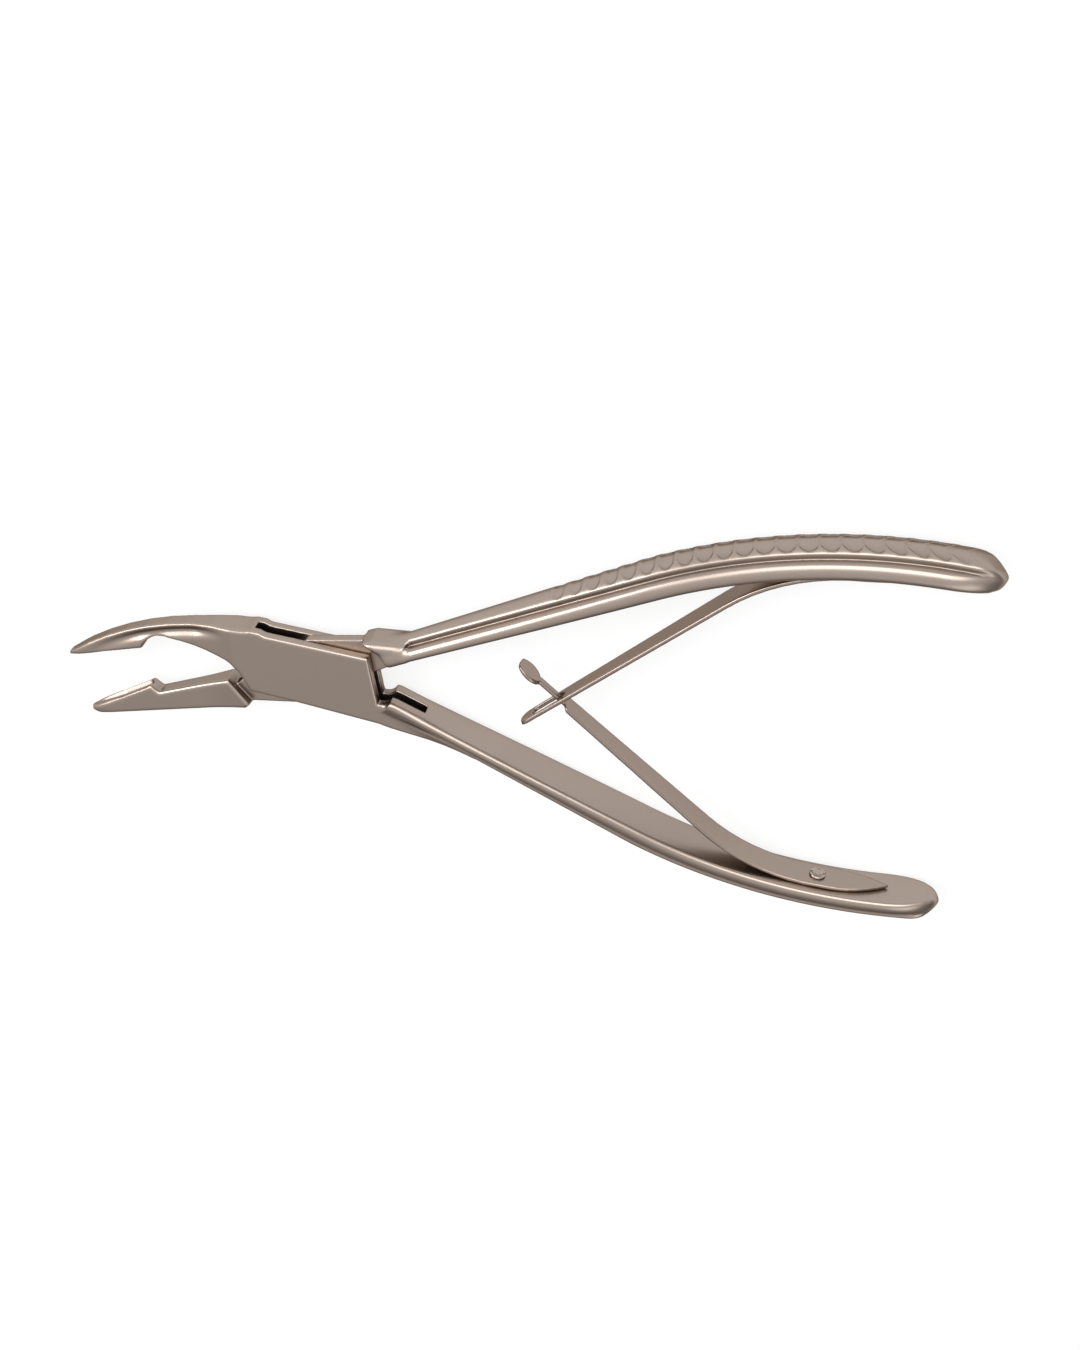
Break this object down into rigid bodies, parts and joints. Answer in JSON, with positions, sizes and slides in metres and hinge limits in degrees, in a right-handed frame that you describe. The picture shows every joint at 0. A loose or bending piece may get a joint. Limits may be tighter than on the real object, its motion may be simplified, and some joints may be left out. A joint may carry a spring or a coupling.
{
  "type": "bone rongeur",
  "caption": "Hand-held bone rongeur with cupped jaws, a box lock, curved handles with finger scallops and crossed leaf springs.",
  "frame": {"origin": "on the pivot axis at the back cheek of the box lock", "axes": "+X from the pivot towards the handle ends, along the middle line between the two open handles; +Y in the plane in which the tool opens, towards the handle of the lock half; +Z along the pivot axis from the back cheek to the front cheek"},
  "size_m": [0.1475, 0.0712, 0.0084],
  "materials": {
    "satin_steel": "satin, fine glass-bead and brush finish on forged stainless steel",
    "spring_steel": "satin, drawn strip ground along its length",
    "screw_steel": "turned and lightly polished"
  },
  "bodies": {
    "box_body": {"box_half": "satin_steel", "pivot_pin": "satin_steel", "lower_spring_screw": "screw_steel"},
    "lock_body": {"lock_half": "satin_steel", "upper_spring_screw": "screw_steel"},
    "upper_leaf": {"upper_spring": "spring_steel"},
    "lower_leaf": {"lower_spring": "spring_steel"}
  },
  "joints": [
    {"name": "jaw_pivot", "type": "hinge", "parent": "box_body", "child": "lock_body", "pos_m": [0, 0, 0.0024], "axis": [0, 0, -1], "range_deg": [0, 14.5], "stiffness_Nm_per_rad": 2},
    {"name": "upper_flex", "type": "hinge", "parent": "lock_body", "child": "upper_leaf", "pos_m": [0.075, 0.0283, 0.0024], "axis": [0, 0, -1], "range_deg": [0, 8.2], "deforming": ["upper_spring"]},
    {"name": "lower_flex", "type": "hinge", "parent": "box_body", "child": "lower_leaf", "pos_m": [0.075, -0.0283, 0.0024], "axis": [0, 0, 1], "range_deg": [0, 8.2], "deforming": ["lower_spring"]}
  ],
  "couplings": [
    {"joint": "upper_flex", "follows": "jaw_pivot", "ratio": 0.55},
    {"joint": "lower_flex", "follows": "jaw_pivot", "ratio": 0.55}
  ]
}
